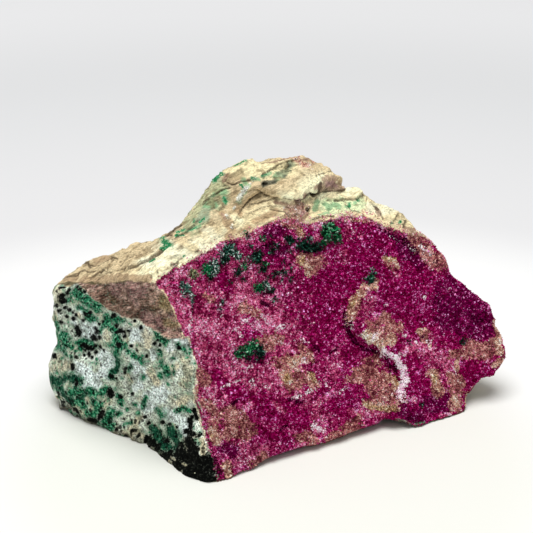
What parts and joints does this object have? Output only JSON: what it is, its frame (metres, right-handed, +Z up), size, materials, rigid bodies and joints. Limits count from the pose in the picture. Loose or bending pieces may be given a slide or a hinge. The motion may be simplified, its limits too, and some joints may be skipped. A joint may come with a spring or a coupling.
{
  "type": "dolomite mineral specimen",
  "caption": "Broken piece of rock with one flat face crusted in magenta dolomite crystals, dark green malachite tufts, a speckled green-white break and a cream stepped summit.",
  "frame": {"origin": "on the standing plane, under the middle of the rock's box", "axes": "+Z up from the standing plane; +X along the rock's length, towards the low pointed end; -Y towards the side where the crystal face and the speckled break meet"},
  "size_m": [0.1274, 0.078, 0.0706],
  "materials": {
    "rock": "rough broken stone, with glittering crystals on one face"
  },
  "bodies": {
    "root": {"dolomite_rock": "rock"}
  },
  "joints": []
}
